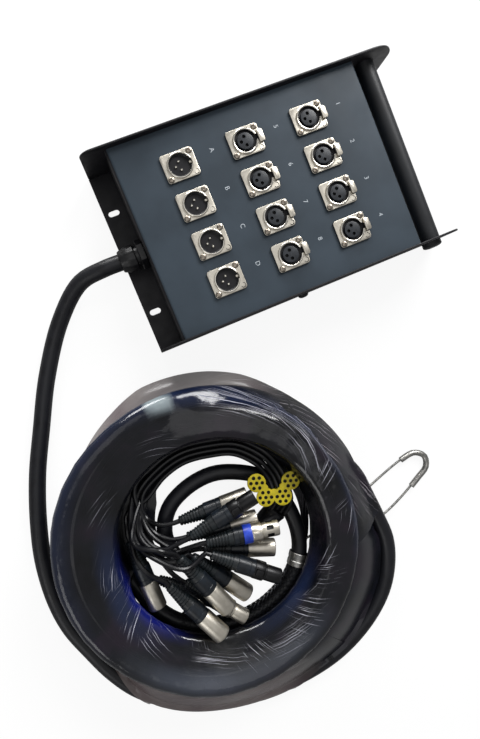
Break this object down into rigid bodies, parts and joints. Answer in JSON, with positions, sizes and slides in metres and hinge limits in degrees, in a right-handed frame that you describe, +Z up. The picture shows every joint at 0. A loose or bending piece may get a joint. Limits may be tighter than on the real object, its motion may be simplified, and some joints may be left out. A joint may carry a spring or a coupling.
{
  "type": "stage box snake",
  "caption": "Low metal stage box with panel connectors and a carrying tube, a coiled multicore cable and a fan-out of tails with cable connectors.",
  "frame": {"origin": "on the floor, midway between the cable gland's tip and the side plates' handle end, on the box's middle line", "axes": "+X from the cable gland to the carrying handle, +Y to the box's left side, +Z up through the connector panel"},
  "size_m": [0.5438, 0.5991, 0.07],
  "materials": {
    "box_black": "satin black powder coat",
    "panel_grey": "satin blue-grey",
    "handle_black": "satin",
    "gland_plastic": "satin",
    "insert_plastic": "matte",
    "cable_jacket": "matte",
    "comb_yellow": "matte",
    "grip_steel": "bright wire",
    "black_shell": "black chrome",
    "nickel": "satin nickel"
  },
  "bodies": {
    "stage_box": {"base_tray": "box_black", "connector_panel": "panel_grey", "side_plate_left": "box_black", "side_plate_right": "box_black", "handle_tube": "handle_black", "gland_body": "gland_plastic", "gland_dome_nut": "gland_plastic", "plug_a_shell": "nickel", "plug_a_insert": "insert_plastic", "plug_b_shell": "nickel", "plug_b_insert": "insert_plastic", "plug_c_shell": "nickel", "plug_c_insert": "insert_plastic", "plug_d_shell": "nickel", "plug_d_insert": "insert_plastic", "socket_1_shell": "nickel", "socket_1_insert": "insert_plastic", "socket_2_shell": "nickel", "socket_2_insert": "insert_plastic", "socket_3_shell": "nickel", "socket_3_insert": "insert_plastic", "socket_4_shell": "nickel", "socket_4_insert": "insert_plastic", "socket_5_shell": "nickel", "socket_5_insert": "insert_plastic", "socket_6_shell": "nickel", "socket_6_insert": "insert_plastic", "socket_7_shell": "nickel", "socket_7_insert": "insert_plastic", "socket_8_shell": "nickel", "socket_8_insert": "insert_plastic", "multicore_run": "cable_jacket", "multicore_coil": "cable_jacket", "fan_out": "cable_jacket", "pulling_grip": "grip_steel", "cable_comb": "comb_yellow", "cable_connector_one": "black_shell", "cable_connector_two": "nickel", "cable_connector_three": "nickel", "cable_connector_four": "black_shell", "cable_connector_five": "nickel", "cable_connector_six": "nickel", "cable_connector_seven": "nickel", "cable_connector_eight": "nickel", "cable_connector_nine": "nickel", "cable_connector_ten": "nickel", "cable_connector_eleven": "nickel", "cable_connector_twelve": "nickel"},
    "socket_1_latch": {"socket_1_latch": "nickel"},
    "socket_2_latch": {"socket_2_latch": "nickel"},
    "socket_3_latch": {"socket_3_latch": "nickel"},
    "socket_4_latch": {"socket_4_latch": "nickel"},
    "socket_5_latch": {"socket_5_latch": "nickel"},
    "socket_6_latch": {"socket_6_latch": "nickel"},
    "socket_7_latch": {"socket_7_latch": "nickel"},
    "socket_8_latch": {"socket_8_latch": "nickel"},
    "cable_latch_one": {"cable_latch_one": "black_shell"},
    "cable_latch_two": {"cable_latch_two": "nickel"},
    "cable_latch_four": {"cable_latch_four": "black_shell"},
    "cable_latch_seven": {"cable_latch_seven": "nickel"}
  },
  "joints": [
    {"name": "socket_1_latch_press", "type": "slide", "parent": "stage_box", "child": "socket_1_latch", "axis": [0, 0, -1], "range_m": [0, 0.0015], "stiffness_N_per_m": 200, "springref_m": -0.002},
    {"name": "socket_2_latch_press", "type": "slide", "parent": "stage_box", "child": "socket_2_latch", "axis": [0, 0, -1], "range_m": [0, 0.0015], "stiffness_N_per_m": 200, "springref_m": -0.002},
    {"name": "socket_3_latch_press", "type": "slide", "parent": "stage_box", "child": "socket_3_latch", "axis": [0, 0, -1], "range_m": [0, 0.0015], "stiffness_N_per_m": 200, "springref_m": -0.002},
    {"name": "socket_4_latch_press", "type": "slide", "parent": "stage_box", "child": "socket_4_latch", "axis": [0, 0, -1], "range_m": [0, 0.0015], "stiffness_N_per_m": 200, "springref_m": -0.002},
    {"name": "socket_5_latch_press", "type": "slide", "parent": "stage_box", "child": "socket_5_latch", "axis": [0, 0, -1], "range_m": [0, 0.0015], "stiffness_N_per_m": 200, "springref_m": -0.002},
    {"name": "socket_6_latch_press", "type": "slide", "parent": "stage_box", "child": "socket_6_latch", "axis": [0, 0, -1], "range_m": [0, 0.0015], "stiffness_N_per_m": 200, "springref_m": -0.002},
    {"name": "socket_7_latch_press", "type": "slide", "parent": "stage_box", "child": "socket_7_latch", "axis": [0, 0, -1], "range_m": [0, 0.0015], "stiffness_N_per_m": 200, "springref_m": -0.002},
    {"name": "socket_8_latch_press", "type": "slide", "parent": "stage_box", "child": "socket_8_latch", "axis": [0, 0, -1], "range_m": [0, 0.0015], "stiffness_N_per_m": 200, "springref_m": -0.002},
    {"name": "cable_latch_one_press", "type": "slide", "parent": "stage_box", "child": "cable_latch_one", "axis": [0, 0, -1], "range_m": [0, 0.0012], "stiffness_N_per_m": 200, "springref_m": -0.002},
    {"name": "cable_latch_two_press", "type": "slide", "parent": "stage_box", "child": "cable_latch_two", "axis": [0, 0, -1], "range_m": [0, 0.0012], "stiffness_N_per_m": 200, "springref_m": -0.002},
    {"name": "cable_latch_four_press", "type": "slide", "parent": "stage_box", "child": "cable_latch_four", "axis": [0, 0, -1], "range_m": [0, 0.0012], "stiffness_N_per_m": 200, "springref_m": -0.002},
    {"name": "cable_latch_seven_press", "type": "slide", "parent": "stage_box", "child": "cable_latch_seven", "axis": [0, 0, -1], "range_m": [0, 0.0012], "stiffness_N_per_m": 200, "springref_m": -0.002}
  ]
}
